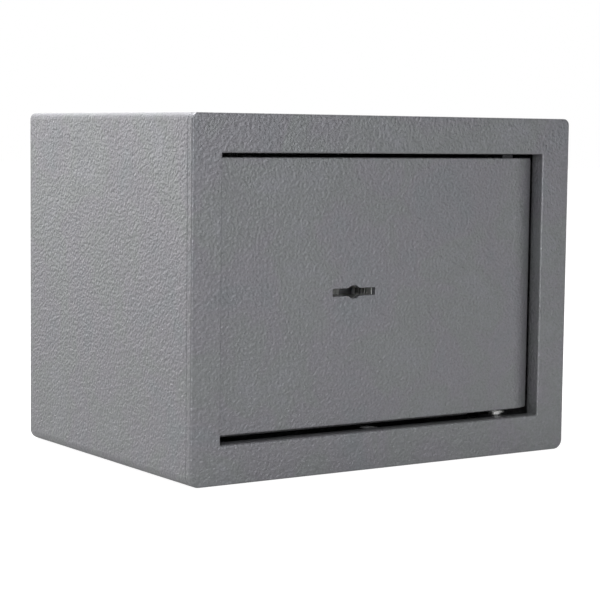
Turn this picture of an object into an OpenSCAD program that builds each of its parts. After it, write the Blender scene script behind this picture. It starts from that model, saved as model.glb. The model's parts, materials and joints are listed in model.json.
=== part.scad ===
// Small key-lock safe: folded steel body, welded front frame, hinged door with a
// double-bit lever lock, and a two-bolt boltwork behind the door's lock edge.
// Origin at the bottom centre, X right, Y to the back, Z up. Millimetres.

/* [Body] */
// outside width
body_w = 230; // [228:1:250]
// outside height
body_h = 175; // [174:1:195]
// outside depth
body_d = 170; // [150:1:200]
// sheet thickness of the folded wrapper and the back panel
wrap_t = 2; // [1.5:0.25:2.5]
// outside radius of the two top long edges
top_r = 3.3; // [3:0.1:5]
// outside radius of the two bottom long edges
bottom_r = 5; // [3:0.1:6]

/* [Front frame] */
// thickness of the front frame plate
frame_t = 4; // [3:0.25:4]
// depth of the opening's folded return, from the front plane
return_d = 8.5; // [8:0.25:9]
// thickness of the return
return_t = 2; // [1.5:0.25:2]
// width of the frame's left band
band_left = 16.5; // [16:0.25:17]
// width of the frame's right band
band_right = 18; // [17.5:0.25:18.5]
// height of the frame's top band
band_top = 18.6; // [18:0.1:19]
// height of the frame's bottom band
band_bottom = 19.2; // [18.5:0.1:19.5]

/* [Door] */
// depth of the door's face behind the front plane
door_face_d = 4; // [3.5:0.25:4]
// door plate thickness
door_t = 3; // [2.5:0.25:3]
// gap at the lock edge
gap_lock = 1.5; // [1.2:0.1:1.6]
// gap at the top edge
gap_top = 2; // [1.6:0.1:2.2]
// gap at the bottom edge
gap_bottom = 3.7; // [3.5:0.1:4]
// outside radius of the rolled hinge edge
roll_r = 24; // [23.5:0.25:24]
// angle of the rolled hinge edge
roll_angle = 33; // [31:1:33]

/* [Hinge] */
// hinge pin radius
pin_r = 2.5; // [2:0.25:2.75]
// running clearance of each pivot and bore
run_gap = 0.05; // [0.03:0.01:0.08]
// hinge washer radius
washer_r = 5; // [4.5:0.25:5.5]
// outside radius of the door's hinge knuckle
knuckle_r = 5; // [4.5:0.25:5.5]

/* [Lock] */
// width of the keyhole across both wings
key_w = 25.4; // [24:0.2:26]
// height of the keyhole's wings
key_h = 3.7; // [3.5:0.1:4.2]
// height of the keyhole's middle
key_mid_h = 6.4; // [6:0.1:7]
// width of the keyhole's middle where it meets the wings
key_mid_w = 6.8; // [6:0.2:8]
// height of the lock's centre above the base
lock_z = 88.5; // [88:0.25:89]
// number of lock levers (fixed by the lock)
lever_n = 6; // [6:1:6]
// lever plate thickness
lever_t = 1.2; // [1:0.1:1.3]

/* [Boltwork] */
// radius of the round locking bolts
bolt_r = 7; // [6:0.5:7]
// throw of the locking bolts
bolt_throw = 12; // [11:0.5:12]
// wall of the inner cover
cover_t = 1.2; // [1:0.1:1.5]

/* [Anchoring] */
// diameter of the anchor holes
anchor_d = 10; // [8:0.5:12]
// distance between the anchor holes of a pair
anchor_pitch = 120; // [80:5:140]

/* [Hidden] */
$fn = 64;
front_y = -body_d / 2;
back_y = body_d / 2;
open_x0 = -body_w / 2 + band_left;
open_x1 = body_w / 2 - band_right;
open_z0 = band_bottom;
open_z1 = body_h - band_top;
// depths (d) are measured from the front plane, towards the back
door_back_d = door_face_d + door_t;
door_x0 = open_x0 + gap_lock;
door_z0 = open_z0 + gap_bottom;
door_z1 = open_z1 - gap_top;
hinge_x = open_x1 - 16.7;
hinge_d = 14.6;
washer_t = 0.8;
shoulder_z = open_z0 + 1.2;
lug_z0 = shoulder_z + 2 * washer_t + 0.07;
roll_x = hinge_x + 2.2;
rail_x = door_x0 + 3.5;
rail_t = 2.5;
rail_end_x = rail_x + rail_t;
cover_x1 = hinge_x - 14.3;
cover_z0 = door_z0 + 5.1;
cover_z1 = door_z1 - 4.4;
cover_d = door_back_d + 26;
lock_x = -19.7;
case_x0 = lock_x - 40.3;
case_x1 = lock_x + 27.7;
case_z0 = lock_z - 26.5;
case_z1 = lock_z + 26.5;
case_t = 2;
case_d = door_back_d + 19;
case_base_d = door_back_d + case_t;
barrel_neck_r = 14.6;
barrel_d = case_base_d + 3;
stud_orbit = 8;
stud_angle = -30;
stud_x = lock_x + stud_orbit * cos(stud_angle);
stud_z = lock_z + stud_orbit * sin(stud_angle);
stud_r = 1.5;
post_x = lock_x + 20.7;
lever_pitch = 1.5;
lever_d = barrel_d + 0.4;
window_r = [12, 11.4, 12.2, 11.6, 12.4, 11.2];
plate_d = lever_d + lever_n * lever_pitch + 0.1;
plate_t = 3;
stump_x = lock_x - 18.3;
stump_r = 2;
leg_x = rail_end_x + 13;
leg_t = 3;
link_head_t = 1.5;
link_head_r = 3.5;
bolt_d = door_back_d + 10;
bolt_zs = [lock_z - 26.5, lock_z + 26.5];
arm_zs = [lock_z - 40.5, lock_z + 29.5];
arm_h = 11;
guide_x = leg_x + 10;
fix_xs = [case_x0 + 5.5, case_x1 - 5.5];
fix_zs = [case_z0 + 5.5, case_z1 - 5.5];
off_xs = [rail_end_x + 11, cover_x1 - 10];
off_zs = [cover_z0 + 8, cover_z1 - 8];

steel_dark = [0.34, 0.35, 0.37];
steel_zinc = [0.72, 0.73, 0.74];
steel_lock = [0.5, 0.51, 0.53];

// ---------- helpers: y is the depth from the front plane inside from_front ----------

module from_front() translate([0, front_y, 0]) children();

module block(x, y, z) translate([x[0], y[0], z[0]])
    cube([x[1] - x[0], y[1] - y[0], z[1] - z[0]]);

module rod_x(x, y, z, r) translate([x[0], y, z]) rotate([0, 90, 0])
    cylinder(h = x[1] - x[0], r = r);

module rod_y(x, y, z, r) translate([x, y[0], z]) rotate([-90, 0, 0])
    cylinder(h = y[1] - y[0], r = r);

module rod_z(x, y, z, r) translate([x, y, z[0]]) cylinder(h = z[1] - z[0], r = r);

// hexagon nut or bolt head along Y, with across-corners radius r
module hex_y(x, y, z, r) translate([x, y[0], z]) rotate([-90, 0, 0])
    cylinder(h = y[1] - y[0], r = r, $fn = 6);

function arc(cx, cz, r, a0) = [for (i = [0:8])
    [cx + r * cos(a0 + 90 * i / 8), cz + r * sin(a0 + 90 * i / 8)]];

// outline of the body seen from the front, set in by s
module outline(s) polygon(concat(
    arc(body_w / 2 - top_r, body_h - top_r, top_r - s, 0),
    arc(-body_w / 2 + top_r, body_h - top_r, top_r - s, 90),
    arc(-body_w / 2 + bottom_r, bottom_r, bottom_r - s, 180),
    arc(body_w / 2 - bottom_r, bottom_r, bottom_r - s, 270)));

// outline swept from y[0] to y[1]
module body_shape(s, y) translate([0, y[1], 0]) rotate([90, 0, 0])
    linear_extrude(y[1] - y[0]) outline(s);

// key-shaped opening along Y, centred on the lock
module key_opening(y) {
    block([lock_x - key_w / 2, lock_x + key_w / 2], y, [lock_z - key_h / 2, lock_z + key_h / 2]);
    translate([lock_x, y[1], lock_z]) rotate([90, 0, 0]) linear_extrude(y[1] - y[0])
        polygon([for (s = [-1, 1], p = [[-key_mid_w / 2, key_h / 2 - 0.1], [-key_mid_w / 2, key_h / 2],
            [-key_mid_w * 0.3, key_mid_h / 2 - 0.4], [-key_mid_w * 0.16, key_mid_h / 2],
            [key_mid_w * 0.16, key_mid_h / 2], [key_mid_w * 0.3, key_mid_h / 2 - 0.4],
            [key_mid_w / 2, key_h / 2], [key_mid_w / 2, key_h / 2 - 0.1]]) s * p]);
}

// ---------- body ----------

module body_wrapper() color(steel_dark) difference() {
    body_shape(0, [front_y + frame_t, back_y]);
    body_shape(wrap_t, [front_y + frame_t - 1, back_y + 1]);
    for (sx = [-1, 1]) rod_z(sx * anchor_pitch / 2, 15, [-1, wrap_t + 1], anchor_d / 2);
}

module back_panel() color(steel_dark) difference() {
    body_shape(wrap_t, [back_y - wrap_t, back_y]);
    for (sx = [-1, 1]) rod_y(sx * anchor_pitch / 2, [back_y - wrap_t - 1, back_y + 1],
        body_h - 50, anchor_d / 2);
}

module front_frame() color(steel_dark) difference() {
    union() {
        body_shape(0, [front_y, front_y + frame_t]);
        from_front() block([open_x0 - return_t, open_x1 + return_t], [frame_t - 1, return_d],
            [open_z0 - return_t, open_z1 + return_t]);
    }
    from_front() block([open_x0, open_x1], [-1, return_d + 1], [open_z0, open_z1]);
    from_front() block([open_x0 - return_t - 1, open_x0 + 1],
        [door_back_d + 0.1, return_d + 1], [lock_z - 14, lock_z + 14]);
}

// tab that the closed door's lock edge meets
module door_stop() color(steel_dark) from_front() {
    block([open_x0 - 11.5, open_x0 + 2.7], [door_back_d + 0.1, door_back_d + 2.1],
        [lock_z - 14, lock_z + 14]);
    block([open_x0 - 11.5, open_x0 - 9.5], [frame_t, door_back_d + 0.1],
        [lock_z - 14, lock_z + 14]);
}

// C-shaped bracket: z[0] at the body's sheet, z[1] at the washer face
module hinge_bracket(z_sheet, z_face) {
    up = z_face > z_sheet ? 1 : -1;
    x = [hinge_x - 6, hinge_x + 6];
    lo = min(z_sheet, z_face);
    hi = max(z_sheet, z_face);
    color(steel_dark) from_front() difference() {
        union() {
            block(x, [return_d, return_d + 2.5], [lo, hi]);
            block(x, [return_d, hinge_d + 6.5], up > 0 ? [hi - 3, hi] : [lo, lo + 3]);
            block(x, [return_d, hinge_d + 6.5], up > 0 ? [lo, lo + 3] : [hi - 3, hi]);
        }
        rod_z(hinge_x, hinge_d, up > 0 ? [hi - 4, hi + 1] : [lo - 1, lo + 4], pin_r);
    }
}

module hinge_bracket_lower() hinge_bracket(wrap_t, open_z0);

module hinge_bracket_upper() hinge_bracket(body_h - wrap_t, open_z1);

// headed pins, the head against the bracket's far side; the lower one has a shoulder
module hinge_pin_lower() color(steel_zinc) from_front() {
    rod_z(hinge_x, hinge_d, [open_z0 - 3, open_z0 + 14], pin_r);
    rod_z(hinge_x, hinge_d, [open_z0, shoulder_z], pin_r + 1);
    rod_z(hinge_x, hinge_d, [open_z0 - 4.5, open_z0 - 3], pin_r + 1);
}

module hinge_pin_upper() color(steel_zinc) from_front() {
    rod_z(hinge_x, hinge_d, [open_z1 - 12.4, open_z1 + 3], pin_r);
    rod_z(hinge_x, hinge_d, [open_z1 + 3, open_z1 + 4.5], pin_r + 1);
}

module washer(z) difference() {
    rod_z(hinge_x, hinge_d, [z, z + washer_t], washer_r);
    rod_z(hinge_x, hinge_d, [z - 1, z + washer_t + 1], pin_r + run_gap);
}

module hinge_washers_lower() color(steel_zinc) from_front() {
    washer(shoulder_z);
    washer(shoulder_z + washer_t + 0.02);
}

// ---------- door ----------

module door_panel() color(steel_dark) from_front() difference() {
    union() {
        block([door_x0, roll_x], [door_face_d, door_back_d], [door_z0, door_z1]);
        translate([roll_x, door_face_d + roll_r, door_z0]) rotate([0, 0, -90])
            rotate_extrude(angle = roll_angle) translate([roll_r - door_t, 0])
                square([door_t, door_z1 - door_z0]);
    }
    key_opening([door_face_d - 1, door_back_d + 1]);
}

module door_bottom_rail() color(steel_dark) from_front()
    block([door_x0, hinge_x - 24.8], [door_back_d, door_back_d + 2.5],
        [door_z0 - 1.1, door_z0 + 3.1]);

module door_top_rail() color(steel_dark) from_front()
    block([door_x0, hinge_x - 24.8], [door_back_d, door_back_d + 2.5],
        [door_z1 - 3.9, door_z1 - 0.2]);

// flange that guides the two locking bolts
module door_lock_rail() color(steel_dark) from_front() difference() {
    block([rail_x, rail_end_x], [door_back_d, cover_d], [cover_z0, cover_z1]);
    for (z = bolt_zs) rod_x([rail_x - 1, rail_end_x + 1], bolt_d, z, bolt_r + run_gap);
}

// knuckle and web on the back of the door
module hinge_lug(z) color(steel_dark) from_front() difference() {
    union() {
        block([hinge_x - 4.5, hinge_x + 2.2], [door_back_d, hinge_d], z);
        rod_z(hinge_x, hinge_d, z, knuckle_r);
    }
    rod_z(hinge_x, hinge_d, [z[0] - 1, z[1] + 1], pin_r + run_gap);
}

module hinge_lug_lower() hinge_lug([lug_z0, lug_z0 + 12]);

module hinge_lug_upper() hinge_lug([open_z1 - 13.4, open_z1 - 0.2]);

// open-backed lock box with a round bearing for the key barrel
module lock_case() color(steel_zinc) from_front() difference() {
    block([case_x0, case_x1], [door_back_d, case_d], [case_z0, case_z1]);
    block([case_x0 + case_t, case_x1 - case_t], [case_base_d, case_d + 1],
        [case_z0 + case_t, case_z1 - case_t]);
    rod_y(lock_x, [door_back_d - 1, case_base_d + 1], lock_z, barrel_neck_r + run_gap);
    for (x = fix_xs, z = fix_zs) rod_y(x, [door_back_d - 1, case_base_d + 1], z, 2.1);
    block([case_x0 - 1, case_x0 + case_t + 1], [plate_d - 0.3, plate_d + plate_t + 0.3],
        [lock_z - 10.8, lock_z + 8.8]);
}

module lock_cover() color(steel_zinc) from_front() difference() {
    block([case_x0, case_x1], [case_d, case_d + 1.5], [case_z0, case_z1]);
    for (x = fix_xs, z = fix_zs) rod_y(x, [case_d - 1, case_d + 3], z, 2.1);
}

module lock_studs() color(steel_zinc) from_front()
    for (x = fix_xs, z = fix_zs) rod_y(x, [door_back_d, case_d + 4.8], z, 2);

module lock_nuts() color(steel_zinc) from_front()
    for (x = fix_xs, z = fix_zs) difference() {
        hex_y(x, [case_d + 1.5, case_d + 4], z, 3.9);
        rod_y(x, [case_d, case_d + 5], z, 2.02);
    }

module lever_post() color(steel_zinc) from_front()
    rod_y(post_x, [case_base_d, case_d], lock_z, 2.5);

// shouldered pins that the bolt bar's two arms slide on
module bar_guide_pins() color(steel_zinc) from_front() for (z = arm_zs) {
    rod_y(guide_x, [door_back_d, door_back_d + 2.4], z + arm_h / 2, 3.5);
    rod_y(guide_x, [door_back_d + 2.4, door_back_d + 9], z + arm_h / 2, 2);
}

module bar_guide_nuts() color(steel_zinc) from_front() for (z = arm_zs) difference() {
    hex_y(guide_x, [door_back_d + 5.3, door_back_d + 8], z + arm_h / 2, 3.9);
    rod_y(guide_x, [door_back_d + 5, door_back_d + 9], z + arm_h / 2, 2.02);
}

module cover_standoffs() color(steel_zinc) from_front() for (x = off_xs, z = off_zs)
    difference() {
        rod_y(x, [door_back_d, cover_d - cover_t], z, 4);
        rod_y(x, [cover_d - 12, cover_d], z, 1.65);
    }

// sheet pan over the boltwork, open towards the lock rail
module inner_cover() color(steel_dark) from_front() difference() {
    block([rail_end_x, cover_x1], [door_back_d, cover_d], [cover_z0, cover_z1]);
    block([rail_end_x - 1, cover_x1 - cover_t], [door_back_d - 1, cover_d - cover_t],
        [cover_z0 + cover_t, cover_z1 - cover_t]);
    for (x = off_xs, z = off_zs) rod_y(x, [cover_d - 3, cover_d + 1], z, 2.1);
}

module inner_cover_screws() color(steel_zinc) from_front() for (x = off_xs, z = off_zs)
    difference() {
        union() {
            rod_y(x, [cover_d - 10, cover_d], z, 1.6);
            rod_y(x, [cover_d, cover_d + 1.8], z, 3.5);
        }
        block([x - 2.2, x + 2.2], [cover_d + 1, cover_d + 2], [z - 0.4, z + 0.4]);
        block([x - 0.4, x + 0.4], [cover_d + 1, cover_d + 2], [z - 2.2, z + 2.2]);
    }

// ---------- boltwork ----------

// folded bar: a leg across the bolts, and an arm with a guide slot at each end
module bolt_bar() color(steel_zinc) from_front() difference() {
    union() {
        block([leg_x, leg_x + leg_t], [door_back_d + 2.5, door_back_d + 18],
            [arm_zs[0], arm_zs[1] + arm_h]);
        for (z = arm_zs) block([leg_x + leg_t, leg_x + 29],
            [door_back_d + 2.5, door_back_d + 5], [z, z + arm_h]);
    }
    for (z = arm_zs) {
        block([guide_x, guide_x + bolt_throw], [door_back_d + 1, door_back_d + 6],
            [z + arm_h / 2 - 2.1, z + arm_h / 2 + 2.1]);
        for (x = [guide_x, guide_x + bolt_throw])
            rod_y(x, [door_back_d + 1, door_back_d + 6], z + arm_h / 2, 2.15);
    }
    for (z = bolt_zs) rod_x([leg_x - 1, leg_x + leg_t + 1], bolt_d, z, 2.5);
    rod_x([leg_x - 1, leg_x + leg_t + 1], bolt_d, lock_z, 2);
    rod_x([leg_x - 1, leg_x + link_head_t], bolt_d, lock_z, link_head_r);
}

module locking_bolt(z) color(steel_zinc) from_front() difference() {
    union() {
        rod_x([rail_x - 2, leg_x], bolt_d, z, bolt_r);
        translate([rail_x - 3, bolt_d, z]) rotate([0, 90, 0])
            cylinder(h = 1, r1 = bolt_r - 1, r2 = bolt_r);
    }
    rod_x([leg_x - 7, leg_x + 1], bolt_d, z, 2.5);
}

module locking_bolt_upper() locking_bolt(bolt_zs[1]);

module locking_bolt_lower() locking_bolt(bolt_zs[0]);

module side_screw(z, r, head_r) difference() {
    union() {
        rod_x([leg_x - 6, leg_x + leg_t], bolt_d, z, r);
        rod_x([leg_x + leg_t, leg_x + leg_t + 2.5], bolt_d, z, head_r);
    }
    block([leg_x + leg_t + 1.5, leg_x + leg_t + 3], [bolt_d - head_r - 1, bolt_d + head_r + 1],
        [z - 0.5, z + 0.5]);
}

module locking_bolt_screws() color(steel_zinc) from_front()
    for (z = bolt_zs) side_screw(z, 2.5, 4);

// flat bolt of the lock: block at the bar, plate with a notch for the drive stud
module lock_bolt() color(steel_lock) from_front() difference() {
    union() {
        block([leg_x + leg_t, leg_x + leg_t + 9], [bolt_d - 3, plate_d + plate_t],
            [lock_z - 6, lock_z + 6]);
        block([leg_x + leg_t + 8, lock_x + 16.7], [plate_d, plate_d + plate_t],
            [lock_z - 10.5, lock_z + 8.5]);
    }
    block([stud_x - 3.66, stud_x + 5.8], [plate_d - 1, plate_d + plate_t + 1],
        [lock_z - 6.5, lock_z + 10]);
    rod_x([leg_x + leg_t - 1, leg_x + leg_t + 7], bolt_d, lock_z, 2);
}

module bolt_stump() color(steel_zinc) from_front()
    rod_y(stump_x, [lever_d + 0.2, plate_d], lock_z, stump_r);

module bolt_link_screw() color(steel_zinc) from_front() {
    rod_x([leg_x + link_head_t, leg_x + leg_t + 6], bolt_d, lock_z, 2);
    rod_x([leg_x, leg_x + link_head_t], bolt_d, lock_z, link_head_r);
}

// ---------- lock ----------

// round barrel turned by the key, running in the lock case's base
module key_barrel() color(steel_zinc) from_front() difference() {
    union() {
        rod_y(lock_x, [door_back_d + 0.1, case_base_d + 0.1], lock_z, barrel_neck_r);
        rod_y(lock_x, [case_base_d + 0.1, barrel_d], lock_z, barrel_neck_r + 1.6);
    }
    key_opening([door_back_d - 1, barrel_d + 1]);
}

module drive_stud() color(steel_zinc) from_front()
    rod_y(stud_x, [barrel_d, plate_d + plate_t - 0.2], stud_z, stud_r);

// pivoting lever: window round the key, channel for the bolt's stump
module lever(i) {
    d = lever_d + i * lever_pitch;
    y = [d - 1, d + lever_t + 1];
    color(steel_lock) from_front() difference() {
        union() {
            block([lock_x - 36.3, post_x], [d, d + lever_t], [lock_z - 14.5, lock_z + 15.5]);
            rod_y(post_x, [d, d + lever_t], lock_z, 4.6);
        }
        rod_y(lock_x, y, lock_z, window_r[i]);
        block([stump_x - bolt_throw - 2.6, stump_x + 2.6], y, [lock_z - 4.6, lock_z + 4.6]);
        rod_y(post_x, y, lock_z, 2.5 + run_gap);
        block([post_x - 6, post_x + 1], y, [lock_z + 6, lock_z + 16]);
        block([post_x - 6, post_x + 1], y, [lock_z - 15, lock_z - 6]);
    }
}

// leaf spring staked to the lever's top edge
module lever_spring(i) {
    d = lever_d + i * lever_pitch;
    color(steel_zinc) from_front() {
        block([lock_x + 9, lock_x + 14], [d + 0.1, d + 1.1], [lock_z + 15.5, lock_z + 17.1]);
        translate([lock_x + 9.2, d + 0.1, lock_z + 16.2]) rotate([0, 9, 0])
            translate([-25, 0, 0]) cube([25, 1, 0.5]);
    }
}

module lever_1() lever(0);
module lever_2() lever(1);
module lever_3() lever(2);
module lever_4() lever(3);
module lever_5() lever(4);
module lever_6() lever(5);
module lever_spring_1() lever_spring(0);
module lever_spring_2() lever_spring(1);
module lever_spring_3() lever_spring(2);
module lever_spring_4() lever_spring(3);
module lever_spring_5() lever_spring(4);
module lever_spring_6() lever_spring(5);

body_wrapper();
back_panel();
front_frame();
door_stop();
hinge_bracket_lower();
hinge_bracket_upper();
hinge_pin_lower();
hinge_pin_upper();
hinge_washers_lower();
door_panel();
door_bottom_rail();
door_top_rail();
door_lock_rail();
hinge_lug_lower();
hinge_lug_upper();
lock_case();
lock_cover();
lock_studs();
lock_nuts();
lever_post();
bar_guide_pins();
bar_guide_nuts();
cover_standoffs();
inner_cover();
inner_cover_screws();
bolt_bar();
locking_bolt_upper();
locking_bolt_lower();
locking_bolt_screws();
lock_bolt();
bolt_stump();
bolt_link_screw();
key_barrel();
drive_stud();
lever_1();
lever_2();
lever_3();
lever_4();
lever_5();
lever_6();
lever_spring_1();
lever_spring_2();
lever_spring_3();
lever_spring_4();
lever_spring_5();
lever_spring_6();
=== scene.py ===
"""Looks of a small key-lock safe: powder-coated sheet steel, zinc-plated hinge parts and boltwork,
a steel lever lock, on a pale floor in soft studio light. Metres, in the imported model's frame."""

import json
import math

import bmesh
import bpy
from mathutils import Matrix, Vector

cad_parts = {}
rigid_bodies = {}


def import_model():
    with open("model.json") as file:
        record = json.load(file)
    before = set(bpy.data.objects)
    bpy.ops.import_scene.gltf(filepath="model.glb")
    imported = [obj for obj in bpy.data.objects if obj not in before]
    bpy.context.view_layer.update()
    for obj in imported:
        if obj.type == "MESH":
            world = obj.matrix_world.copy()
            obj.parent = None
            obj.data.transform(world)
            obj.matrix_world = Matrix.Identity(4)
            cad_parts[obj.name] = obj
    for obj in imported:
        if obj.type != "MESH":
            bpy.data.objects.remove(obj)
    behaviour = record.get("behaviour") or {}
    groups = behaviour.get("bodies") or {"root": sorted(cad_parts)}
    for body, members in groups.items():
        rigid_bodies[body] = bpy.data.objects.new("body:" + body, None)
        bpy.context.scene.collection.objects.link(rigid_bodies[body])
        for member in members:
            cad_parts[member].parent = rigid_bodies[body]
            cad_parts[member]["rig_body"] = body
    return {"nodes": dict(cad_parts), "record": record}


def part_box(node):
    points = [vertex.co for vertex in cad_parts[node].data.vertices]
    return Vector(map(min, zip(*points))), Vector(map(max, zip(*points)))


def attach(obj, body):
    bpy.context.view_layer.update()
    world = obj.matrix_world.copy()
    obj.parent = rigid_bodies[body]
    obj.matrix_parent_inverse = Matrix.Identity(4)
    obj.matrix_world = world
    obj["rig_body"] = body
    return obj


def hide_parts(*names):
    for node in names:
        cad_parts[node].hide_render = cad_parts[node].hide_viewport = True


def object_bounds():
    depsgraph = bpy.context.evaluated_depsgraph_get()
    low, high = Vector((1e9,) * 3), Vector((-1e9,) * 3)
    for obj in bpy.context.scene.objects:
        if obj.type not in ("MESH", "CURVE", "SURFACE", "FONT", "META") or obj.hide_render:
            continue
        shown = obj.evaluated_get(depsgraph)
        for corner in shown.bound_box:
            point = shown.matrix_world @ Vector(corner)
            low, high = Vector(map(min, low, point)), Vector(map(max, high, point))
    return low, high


MM = 0.001

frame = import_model()
NODES = frame["nodes"]
CAD_LOW, CAD_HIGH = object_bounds()
CENTRE = (CAD_LOW + CAD_HIGH) / 2
FRONT_Y = CAD_LOW.y

# ---------------------------------------------------------------- camera and stage

CAMERA_YAW = math.radians(33.87)
CAMERA_PITCH = math.radians(5.07)
CAMERA_ROLL = math.radians(0.68)
CAMERA_LENS = 112.2
CAMERA_SENSOR = 36
CAMERA_FROM_CENTRE = Vector((-0.5526, -0.8271, 0.0780))


def make_camera():
    forward = Vector((math.sin(CAMERA_YAW) * math.cos(CAMERA_PITCH),
                      math.cos(CAMERA_YAW) * math.cos(CAMERA_PITCH),
                      -math.sin(CAMERA_PITCH)))
    level = Vector((math.cos(CAMERA_YAW), -math.sin(CAMERA_YAW), 0))
    upright = level.cross(forward)
    right = level * math.cos(CAMERA_ROLL) + upright * math.sin(CAMERA_ROLL)
    up = upright * math.cos(CAMERA_ROLL) - level * math.sin(CAMERA_ROLL)
    data = bpy.data.cameras.new("camera")
    data.lens = CAMERA_LENS
    data.sensor_width = CAMERA_SENSOR
    data.clip_start = 0.01
    camera = bpy.data.objects.new("camera", data)
    bpy.context.scene.collection.objects.link(camera)
    turn = Matrix((right, up, -forward)).transposed().to_4x4()
    camera.matrix_world = Matrix.Translation(CENTRE + CAMERA_FROM_CENTRE) @ turn
    bpy.context.scene.camera = camera


def make_light(name, place, size, watts, colour=(1, 1, 1), lengthways=(0, 0, 1)):
    """Area light at a place counted from the object's centre, which it faces. Its second size
    runs along lengthways."""
    data = bpy.data.lights.new(name, "AREA")
    data.shape = "RECTANGLE"
    data.size = size[0]
    data.size_y = size[1]
    data.energy = watts
    data.color = colour
    light = bpy.data.objects.new(name, data)
    bpy.context.scene.collection.objects.link(light)
    back = Vector(place).normalized()
    side = Vector(lengthways).cross(back).normalized()
    turn = Matrix((side, back.cross(side), back)).transposed().to_4x4()
    light.matrix_world = Matrix.Translation(CENTRE + Vector(place)) @ turn
    light.visible_camera = False


TOP_WATTS = 36.0
SIDE_WATTS = 2.2
FILL_WATTS = 6.4
CARD_WATTS = 4.9
STRIP_WATTS = 0.6
HORIZON = 0.45
SKY = 0.22
FLAG = 0.04
FLAG_SIDE = Vector((0.86, -0.51, 0.0))
BACKDROP = 1.6
BACKDROP_SIDE = Vector((0.12, 0.93, 0.34))
HORIZON_TOP = 0.05
SKY_START = 0.35
FLAG_EDGE = (0.55, 0.80)
BACKDROP_EDGE = (0.84, 0.95)
WARM = (1.0, 0.995, 0.98)
COOL = (0.97, 0.985, 1.0)
FILL_COLOUR = (0.965, 0.98, 1.0)
STRIP_TILT = (-0.39, -0.20, 0.99)


def make_lights():
    make_light("top_softbox", (-0.45, 0.20, 1.20), (0.9, 0.9), TOP_WATTS)
    make_light("left_rear_strip", (-1.02, 1.40, 0.16), (0.18, 0.60), SIDE_WATTS, WARM,
               STRIP_TILT)
    make_light("left_front_fill", (-0.66, -1.24, 0.38), (0.5, 0.5), FILL_WATTS, FILL_COLOUR)
    make_light("front_card", (0.25, -1.38, 0.40), (0.90, 0.90), CARD_WATTS, COOL)
    make_light("right_strip", (1.03, -0.93, 0.12), (0.06, 0.45), STRIP_WATTS, COOL)


def facing(tree, look, side, edge, low, high):
    """Socket that goes from low to high as the direction look turns towards side. Edge holds the
    two cosines between which it changes."""
    towards = tree.nodes.new("ShaderNodeVectorMath")
    towards.operation = "DOT_PRODUCT"
    towards.inputs[1].default_value = side
    span = tree.nodes.new("ShaderNodeMapRange")
    span.inputs["From Min"].default_value = edge[0]
    span.inputs["From Max"].default_value = edge[1]
    span.inputs["To Min"].default_value = low
    span.inputs["To Max"].default_value = high
    tree.links.new(look, towards.inputs[0])
    tree.links.new(towards.outputs["Value"], span.inputs["Value"])
    return span.outputs["Result"]


def make_world():
    """Pale studio room, greyer overhead, with a bright backdrop behind the object and a dark flag
    to the front right. The camera itself sees plain white behind the object."""
    world = bpy.data.worlds.new("studio")
    world.use_nodes = True
    tree = world.node_tree
    tree.nodes.clear()
    look = tree.nodes.new("ShaderNodeTexCoord").outputs["Generated"]
    split = tree.nodes.new("ShaderNodeSeparateXYZ")
    height = tree.nodes.new("ShaderNodeValToRGB")
    strength = tree.nodes.new("ShaderNodeMath")
    room = tree.nodes.new("ShaderNodeBackground")
    white = tree.nodes.new("ShaderNodeBackground")
    ray = tree.nodes.new("ShaderNodeLightPath")
    choice = tree.nodes.new("ShaderNodeMixShader")
    output = tree.nodes.new("ShaderNodeOutputWorld")
    height.color_ramp.elements[0].position = HORIZON_TOP
    height.color_ramp.elements[0].color = (HORIZON, HORIZON, HORIZON, 1)
    height.color_ramp.elements[1].position = SKY_START
    height.color_ramp.elements[1].color = (SKY, SKY, SKY * 1.02, 1)
    flag = facing(tree, look, FLAG_SIDE, FLAG_EDGE, 1.0, FLAG)
    backdrop = facing(tree, look, BACKDROP_SIDE, BACKDROP_EDGE, 0.0, BACKDROP / SKY)
    strength.operation = "ADD"
    white.inputs["Color"].default_value = (1, 1, 1, 1)
    tree.links.new(look, split.inputs[0])
    tree.links.new(split.outputs["Z"], height.inputs["Fac"])
    tree.links.new(height.outputs["Color"], room.inputs["Color"])
    tree.links.new(flag, strength.inputs[0])
    tree.links.new(backdrop, strength.inputs[1])
    tree.links.new(strength.outputs["Value"], room.inputs["Strength"])
    tree.links.new(ray.outputs["Is Camera Ray"], choice.inputs[0])
    tree.links.new(room.outputs["Background"], choice.inputs[1])
    tree.links.new(white.outputs["Background"], choice.inputs[2])
    tree.links.new(choice.outputs["Shader"], output.inputs["Surface"])
    bpy.context.scene.world = world


FLOOR_RADIUS = 9.0
FLOOR_SIDES = 96
FLOOR_DROP = 0.2 * MM
FLOOR_SHADE = 0.22
FLOOR_GLOW = 0.32
FLOOR_GLOW_RIGHT = 0.05
GLOW_FADE_X = (0.45, 0.75)
WHITE_NEAR = 0.93
WHITE_FADE = (0.25, 1.0)


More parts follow.
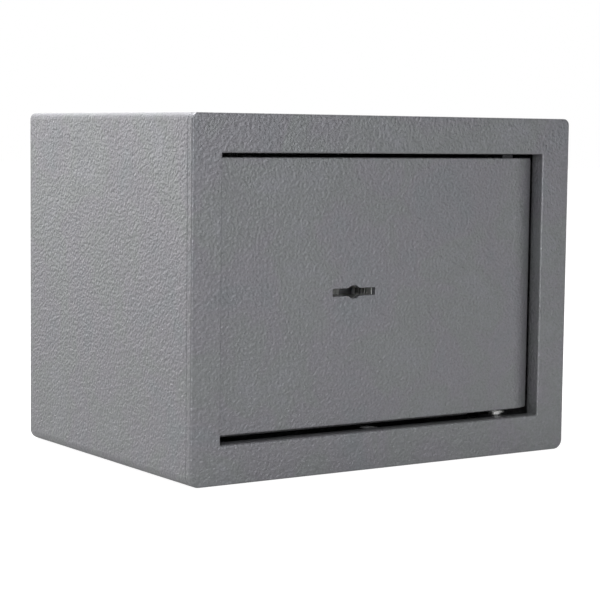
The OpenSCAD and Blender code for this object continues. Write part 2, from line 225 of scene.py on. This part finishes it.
def make_floor():
    """Pale disc that glows a little, less to the right. The camera sees it nearly white beside the
    object and fully white where it meets the background."""
    data = bpy.data.meshes.new("floor")
    shape = bmesh.new()
    bmesh.ops.create_circle(shape, cap_ends=True, radius=FLOOR_RADIUS,
                             segments=FLOOR_SIDES)
    shape.to_mesh(data)
    shape.free()
    floor = bpy.data.objects.new("floor", data)
    bpy.context.scene.collection.objects.link(floor)
    floor.location.z = CAD_LOW.z - FLOOR_DROP
    pale = Graph("floor_pale")
    distance = pale.tree.nodes.new("ShaderNodeVectorMath")
    distance.operation = "LENGTH"
    pale.link(pale.place, distance.inputs[0])
    rightward = pale.tree.nodes.new("ShaderNodeSeparateXYZ")
    pale.link(pale.place, rightward.inputs[0])
    bounce = pale.span(rightward.outputs["X"], FLOOR_GLOW, FLOOR_GLOW_RIGHT, *GLOW_FADE_X)
    white = pale.span(distance.outputs["Value"], WHITE_NEAR, 1.0, *WHITE_FADE)
    seen = pale.tree.nodes.new("ShaderNodeLightPath").outputs["Is Camera Ray"]
    strength = pale.maths("MAXIMUM", bounce, pale.maths("MULTIPLY", white, seen))
    pale.link(strength, pale.shader.inputs["Emission Strength"])
    pale.shader.inputs["Emission Color"].default_value = (1, 1, 1, 1)
    pale.shader.inputs["Base Color"].default_value = (FLOOR_SHADE, FLOOR_SHADE, FLOOR_SHADE, 1)
    pale.shader.inputs["Roughness"].default_value = 0.9
    pale.shader.inputs["Specular IOR Level"].default_value = 0.0
    data.materials.append(pale.material)


# ---------------------------------------------------------------- materials

class Graph:
    """A material's node tree, with short calls for the nodes that the finishes share."""

    def __init__(self, name):
        self.material = bpy.data.materials.new(name)
        self.material.use_nodes = True
        self.tree = self.material.node_tree
        self.shader = self.tree.nodes["Principled BSDF"]
        self.place = self.tree.nodes.new("ShaderNodeTexCoord").outputs["Object"]

    def link(self, source, target):
        self.tree.links.new(source, target)

    def stretched(self, scale):
        mapping = self.tree.nodes.new("ShaderNodeMapping")
        mapping.inputs["Scale"].default_value = scale
        self.link(self.place, mapping.inputs["Vector"])
        return mapping.outputs["Vector"]

    def noise(self, scale, detail=2.0, roughness=0.5, distortion=0.0, vector=None):
        node = self.tree.nodes.new("ShaderNodeTexNoise")
        node.inputs["Scale"].default_value = scale
        node.inputs["Detail"].default_value = detail
        node.inputs["Roughness"].default_value = roughness
        node.inputs["Distortion"].default_value = distortion
        self.link(vector or self.place, node.inputs["Vector"])
        return node.outputs["Fac"]

    def cells(self, scale, smoothness):
        node = self.tree.nodes.new("ShaderNodeTexVoronoi")
        node.feature = "SMOOTH_F1"
        node.inputs["Scale"].default_value = scale
        node.inputs["Smoothness"].default_value = smoothness
        self.link(self.place, node.inputs["Vector"])
        return node.outputs["Distance"]

    def ramp(self, value, stops):
        node = self.tree.nodes.new("ShaderNodeValToRGB")
        points = node.color_ramp.elements
        while len(points) < len(stops):
            points.new(0.5)
        for point, (position, colour) in zip(points, stops):
            point.position = position
            point.color = (*colour, 1)
        self.link(value, node.inputs["Fac"])
        return node.outputs["Color"]

    def span(self, value, low, high, start=0.25, end=0.75):
        node = self.tree.nodes.new("ShaderNodeMapRange")
        node.inputs["From Min"].default_value = start
        node.inputs["From Max"].default_value = end
        node.inputs["To Min"].default_value = low
        node.inputs["To Max"].default_value = high
        self.link(value, node.inputs["Value"])
        return node.outputs["Result"]

    def maths(self, operation, first, second):
        node = self.tree.nodes.new("ShaderNodeMath")
        node.operation = operation
        for socket, value in zip(node.inputs, (first, second)):
            if isinstance(value, (int, float)):
                socket.default_value = value
            else:
                self.link(value, socket)
        return node.outputs["Value"]

    def multiply(self, colour, tint):
        node = self.tree.nodes.new("ShaderNodeMix")
        node.data_type = "RGBA"
        node.blend_type = "MULTIPLY"
        node.inputs["Factor"].default_value = 1.0
        self.link(colour, node.inputs[6])
        self.link(tint, node.inputs[7])
        return node.outputs[2]

    def bump(self, height, depth, under=None):
        node = self.tree.nodes.new("ShaderNodeBump")
        node.inputs["Strength"].default_value = 1.0
        node.inputs["Distance"].default_value = depth
        self.link(height, node.inputs["Height"])
        if under is not None:
            self.link(under, node.inputs["Normal"])
        return node.outputs["Normal"]


COAT_SHADE = 0.21
# Near-black coat tone: painted shade for the hinge pieces and rails seen through the door gaps.
PAINTED_GAP_SHADE = 0.05
COAT_ROUGH = 0.36
COAT_METALLIC = 0.50
COAT_PEEL = 0.37 * MM
COAT_GRAIN = COAT_PEEL * 0.12
PATCH_SCALE = 26.0
FLECK_SCALE = 900.0
PEEL_SCALE = 640.0
PEBBLE_SCALE = 760.0
GRAIN_SCALE = 1900.0
GLOSS_SCALE = 60.0
CLOUD_SCALE = 140.0
LINE_SCALE = 600.0
LINE_DEPTH = 0.02 * MM
SMUDGE_SCALE = 420.0


def powder_coat(name, shade):
    """Grey metallic powder coat: pebbled orange peel about 1.5 mm across, faint cool and warm
    patches, and a fine fleck."""
    graph = Graph(name)
    patches = graph.noise(PATCH_SCALE, 3.0, 0.55, 0.4)
    tone = graph.ramp(patches, [
        (0.30, (shade * 0.93, shade * 0.97, shade * 1.02)),
        (0.45, (shade * 1.00, shade * 0.98, shade * 1.05)),
        (0.56, (shade * 0.96, shade * 0.99, shade * 1.00)),
        (0.70, (shade * 1.03, shade * 1.04, shade * 1.10)),
    ])
    grain = graph.noise(FLECK_SCALE, 2.0, 0.6)
    fleck = graph.ramp(grain, [(0.30, (0.88, 0.88, 0.88)), (0.70, (1.10, 1.10, 1.10))])
    graph.link(graph.multiply(tone, fleck), graph.shader.inputs["Base Color"])
    peel = graph.noise(PEEL_SCALE, 1.0, 0.40, 0.4)
    pebble = graph.cells(PEBBLE_SCALE, 1.0)
    height = graph.maths("SUBTRACT", peel, graph.maths("MULTIPLY", pebble, 0.5))
    coarse = graph.bump(height, COAT_PEEL)
    fine = graph.bump(graph.noise(GRAIN_SCALE, 2.0, 0.5), COAT_GRAIN, under=coarse)
    graph.link(fine, graph.shader.inputs["Normal"])
    gloss = graph.span(graph.noise(GLOSS_SCALE, 4.0, 0.6), COAT_ROUGH * 0.88, COAT_ROUGH * 1.12)
    graph.link(gloss, graph.shader.inputs["Roughness"])
    graph.shader.inputs["Metallic"].default_value = COAT_METALLIC
    graph.shader.inputs["Specular IOR Level"].default_value = 0.5
    return graph.material


def plated_steel(name, colour, rough, spin):
    """Zinc-plated steel: fine drawn or turned lines, cloudy plating and a few dull spots."""
    graph = Graph(name)
    cloud = graph.noise(CLOUD_SCALE, 4.0, 0.6, 0.3)
    tone = graph.ramp(cloud, [
        (0.30, tuple(c * 0.80 for c in colour)),
        (0.55, colour),
        (0.75, tuple(min(1.0, c * 1.12) for c in colour)),
    ])
    graph.link(tone, graph.shader.inputs["Base Color"])
    lines = graph.noise(LINE_SCALE, 3.0, 0.6, vector=graph.stretched(spin))
    graph.link(graph.bump(lines, LINE_DEPTH), graph.shader.inputs["Normal"])
    gloss = graph.span(graph.noise(SMUDGE_SCALE, 5.0, 0.65), rough * 0.8, rough * 1.35)
    graph.link(gloss, graph.shader.inputs["Roughness"])
    graph.shader.inputs["Metallic"].default_value = 1.0
    return graph.material


def make_materials():
    return {
        "grey_powder_coat": powder_coat("powder_coat_grey", COAT_SHADE),
        # Dark coat: painted shade for the hinge pieces and rails in the door gaps.
        "painted_gap_shade_coat": powder_coat("powder_coat_painted_gap_shade", PAINTED_GAP_SHADE),
        "bright_steel": plated_steel("zinc_plated_bright", (0.84, 0.84, 0.82), 0.40, (1, 1, 9)),
        "zinc_sheet": plated_steel("zinc_plated_sheet", (0.52, 0.53, 0.55), 0.38, (1, 6, 1)),
        "lock_steel": plated_steel("oiled_lock_steel", (0.27, 0.27, 0.26), 0.44, (7, 1, 1)),
    }


# ---------------------------------------------------------------- shapes

FLAT_ANGLE = math.radians(0.6)
SHARP_ANGLE = math.radians(28)
WELD_GAP = 0.002 * MM
SHEET_SEGMENTS = 4
SOFT_SEGMENTS = 2
SHEET_EDGE = 0.5 * MM
FRAME_FRONT_EDGE = 0.9 * MM
FRONT_BAND = 0.5 * MM
DOOR_EDGE = 0.7 * MM
KEYHOLE_EDGE = 0.3 * MM
DOOR_RIM = 20 * MM
PART_EDGE = 0.3 * MM
SMALL_EDGE = 0.12 * MM


SLOTS = {part["node"]: part["material_slot"] for part in frame["record"]["subparts"]}
# Parts given the dark coat, which is painted shade for the door gaps.
GAP_SHADE_PARTS = ("hinge_bracket", "hinge_lug", "door_bottom_rail", "door_top_rail")
SMALL_PARTS = ("hinge_pin", "hinge_washer", "screw", "stud", "nut", "stump", "spring")


def node_finish(node):
    """Material of a node that keeps its own mesh: hinge pieces and rails get a near-black coat,
    which is painted shade for the door gaps they sit in.
    """
    return "painted_gap_shade_coat" if node.startswith(GAP_SHADE_PARTS) else SLOTS[node]


def clean_copy(node):
    """The node's solid as welded flat faces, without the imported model's triangulation."""
    shape = bmesh.new()
    shape.from_mesh(NODES[node].data)
    bmesh.ops.remove_doubles(shape, verts=shape.verts, dist=WELD_GAP)
    bmesh.ops.dissolve_limit(shape, angle_limit=FLAT_ANGLE, verts=shape.verts, edges=shape.edges)
    return shape


def rounded_piece(node, name, widths, materials):
    """Replaces a sheet-metal node by a piece whose sharp edges are rounded: widths(edge) gives
    each edge's radius."""
    shape = clean_copy(node)
    largest = 0.0
    layer = shape.edges.layers.float.new("bevel_weight_edge")
    chosen = []
    for edge in shape.edges:
        if edge.is_manifold and edge.calc_face_angle() > SHARP_ANGLE:
            radius = widths(edge)
            largest = max(largest, radius)
            chosen.append((edge, radius))
    for edge, radius in chosen:
        edge[layer] = radius / largest
    for face in shape.faces:
        face.smooth = True
    data = bpy.data.meshes.new(name)
    shape.to_mesh(data)
    shape.free()
    piece = bpy.data.objects.new(name, data)
    bpy.context.scene.collection.objects.link(piece)
    add_bevel(piece, largest, SHEET_SEGMENTS, "WEIGHT")
    slot = SLOTS[node]
    data.materials.append(materials[slot])
    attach(piece, NODES[node]["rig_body"])
    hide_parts(node)


def add_bevel(piece, width, segments, method):
    bevel = piece.modifiers.new("edges", "BEVEL")
    bevel.width = width
    bevel.segments = segments
    bevel.limit_method = method
    bevel.angle_limit = SHARP_ANGLE
    bevel.use_clamp_overlap = True
    bevel.miter_outer = "MITER_ARC"
    flats = piece.modifiers.new("flats", "WEIGHTED_NORMAL")
    flats.mode = "FACE_AREA"
    flats.weight = 100


def soften_node(node, width, materials):
    """Keeps a CAD node and rounds its edges with modifiers."""
    piece = NODES[node]
    normals = piece.data.attributes.get("custom_normal")
    if normals is not None:
        piece.data.attributes.remove(normals)
    piece.data.shade_smooth()
    weld = piece.modifiers.new("weld", "WELD")
    weld.merge_threshold = WELD_GAP
    flat = piece.modifiers.new("flat", "DECIMATE")
    flat.decimate_type = "DISSOLVE"
    flat.angle_limit = FLAT_ANGLE
    add_bevel(piece, width, SOFT_SEGMENTS, "ANGLE")
    piece.data.materials.clear()
    piece.data.materials.append(materials[node_finish(node)])
    piece.data.update()


def mid(edge):
    return (edge.verts[0].co + edge.verts[1].co) / 2


def sheet_widths(edge):
    return SHEET_EDGE


def frame_widths(edge):
    """Front plate: rounded front edges, crisper at the seam and at the return's rear."""
    return FRAME_FRONT_EDGE if mid(edge).y < FRONT_Y + FRONT_BAND else SHEET_EDGE


def door_widths(edge):
    """Door skin: the keyhole's edges are crisper than those of the outline."""
    low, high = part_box("door_panel")
    place = mid(edge)
    across = low.x + DOOR_RIM < place.x < high.x - DOOR_RIM
    upright = low.z + DOOR_RIM < place.z < high.z - DOOR_RIM
    return KEYHOLE_EDGE if across and upright else DOOR_EDGE


ROUNDED = {
    "body_wrapper": ("body_shell", sheet_widths),
    "front_frame": ("front_frame_plate", frame_widths),
    "door_panel": ("door_skin", door_widths),
    "inner_cover": ("inner_cover_pan", sheet_widths),
}


def make_pieces(materials):
    for node, (name, widths) in ROUNDED.items():
        rounded_piece(node, name, widths, materials)
    for node in NODES:
        if node in ROUNDED:
            continue
        small = any(word in node for word in SMALL_PARTS)
        soften_node(node, SMALL_EDGE if small else PART_EDGE, materials)


bpy.context.scene.view_settings.view_transform = "Standard"
make_camera()
make_world()
make_lights()
make_floor()
make_pieces(make_materials())
